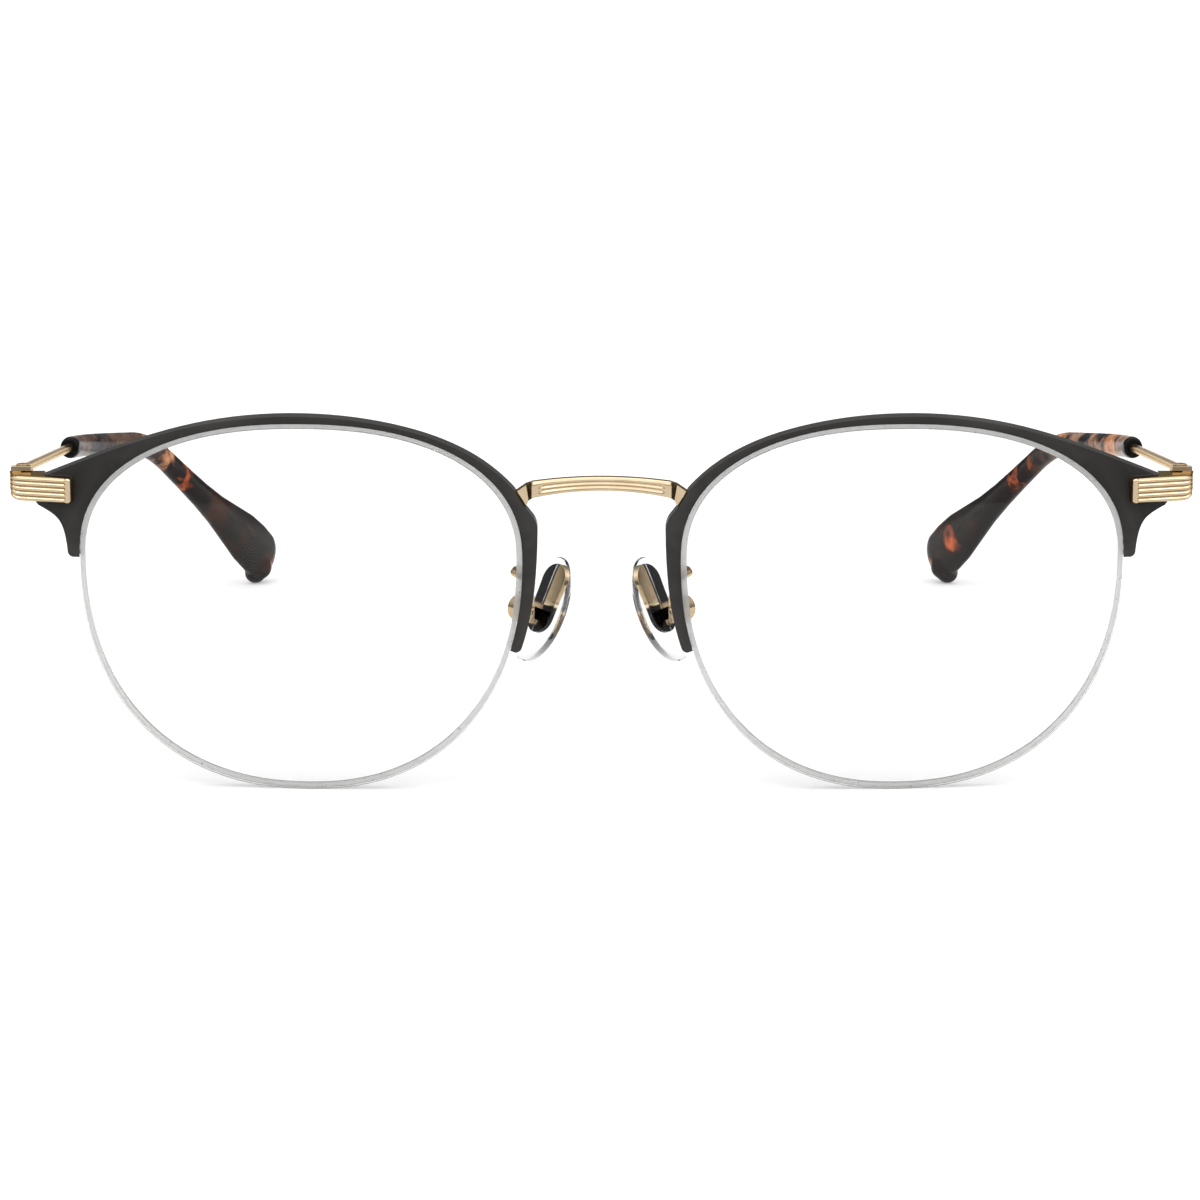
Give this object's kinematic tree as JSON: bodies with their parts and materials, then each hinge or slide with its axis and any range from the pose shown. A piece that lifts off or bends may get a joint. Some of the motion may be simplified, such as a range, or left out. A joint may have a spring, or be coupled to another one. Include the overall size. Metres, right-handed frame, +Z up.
{
  "type": "half rim eyeglasses",
  "caption": "Half rim eyeglasses with metal brow rims, ribbed end pieces, nylon-held round lenses, silicone nose pads and folding wire temples with acetate tips.",
  "frame": {"origin": "on the floor plane under the middle of the glasses' bounding box, open on a table", "axes": "+X to the wearer's left across the front, +Y from the lenses back along the temples, +Z up"},
  "size_m": [0.1378, 0.123, 0.0439],
  "materials": {
    "black_metal": "satin near-black lacquer on thin sheet metal",
    "gold_metal": "polished pale champagne gold plating",
    "insert_metal": "polished gold plating",
    "screw_metal": "polished gold plating",
    "lens": "clear, uncoated look, plain demonstration lens",
    "nylon": "clear nylon",
    "silicone": "clear soft silicone",
    "tortoise": "polished acetate, dark tortoise with amber flecks"
  },
  "bodies": {
    "front": {"bridge": "gold_metal", "left_rim": "black_metal", "left_rim_liner": "nylon", "left_lens": "lens", "left_lens_thread": "nylon", "left_endpiece": "gold_metal", "left_hinge_front": "gold_metal", "left_hinge_screw": "screw_metal", "left_pad_arm": "gold_metal", "left_pad_box": "gold_metal", "left_pad_screw": "screw_metal", "right_rim": "black_metal", "right_rim_liner": "nylon", "right_lens": "lens", "right_lens_thread": "nylon", "right_endpiece": "gold_metal", "right_hinge_front": "gold_metal", "right_hinge_screw": "screw_metal", "right_pad_arm": "gold_metal", "right_pad_box": "gold_metal", "right_pad_screw": "screw_metal"},
    "left_temple": {"left_temple_wire": "gold_metal", "left_hinge_temple": "gold_metal", "left_temple_tip": "tortoise"},
    "right_temple": {"right_temple_wire": "gold_metal", "right_hinge_temple": "gold_metal", "right_temple_tip": "tortoise"},
    "left_pad": {"left_nose_pad": "silicone", "left_pad_insert": "insert_metal"},
    "right_pad": {"right_nose_pad": "silicone", "right_pad_insert": "insert_metal"}
  },
  "joints": [
    {"name": "left_temple_fold", "type": "hinge", "parent": "front", "child": "left_temple", "pos_m": [0.0674, -0.04947, 0.035], "axis": [0, 0.1305, 0.9914], "range_deg": [0, 81]},
    {"name": "right_temple_fold", "type": "hinge", "parent": "front", "child": "right_temple", "pos_m": [-0.0674, -0.04947, 0.035], "axis": [0, -0.1305, -0.9914], "range_deg": [0, 75]},
    {"name": "left_pad_rock", "type": "hinge", "parent": "front", "child": "left_pad", "pos_m": [0.00908, -0.05402, 0.02029], "axis": [0.5299, 0.848, 0], "range_deg": [-7, 7]},
    {"name": "right_pad_rock", "type": "hinge", "parent": "front", "child": "right_pad", "pos_m": [-0.00908, -0.05402, 0.02029], "axis": [-0.5299, 0.848, 0], "range_deg": [-7, 7]}
  ]
}
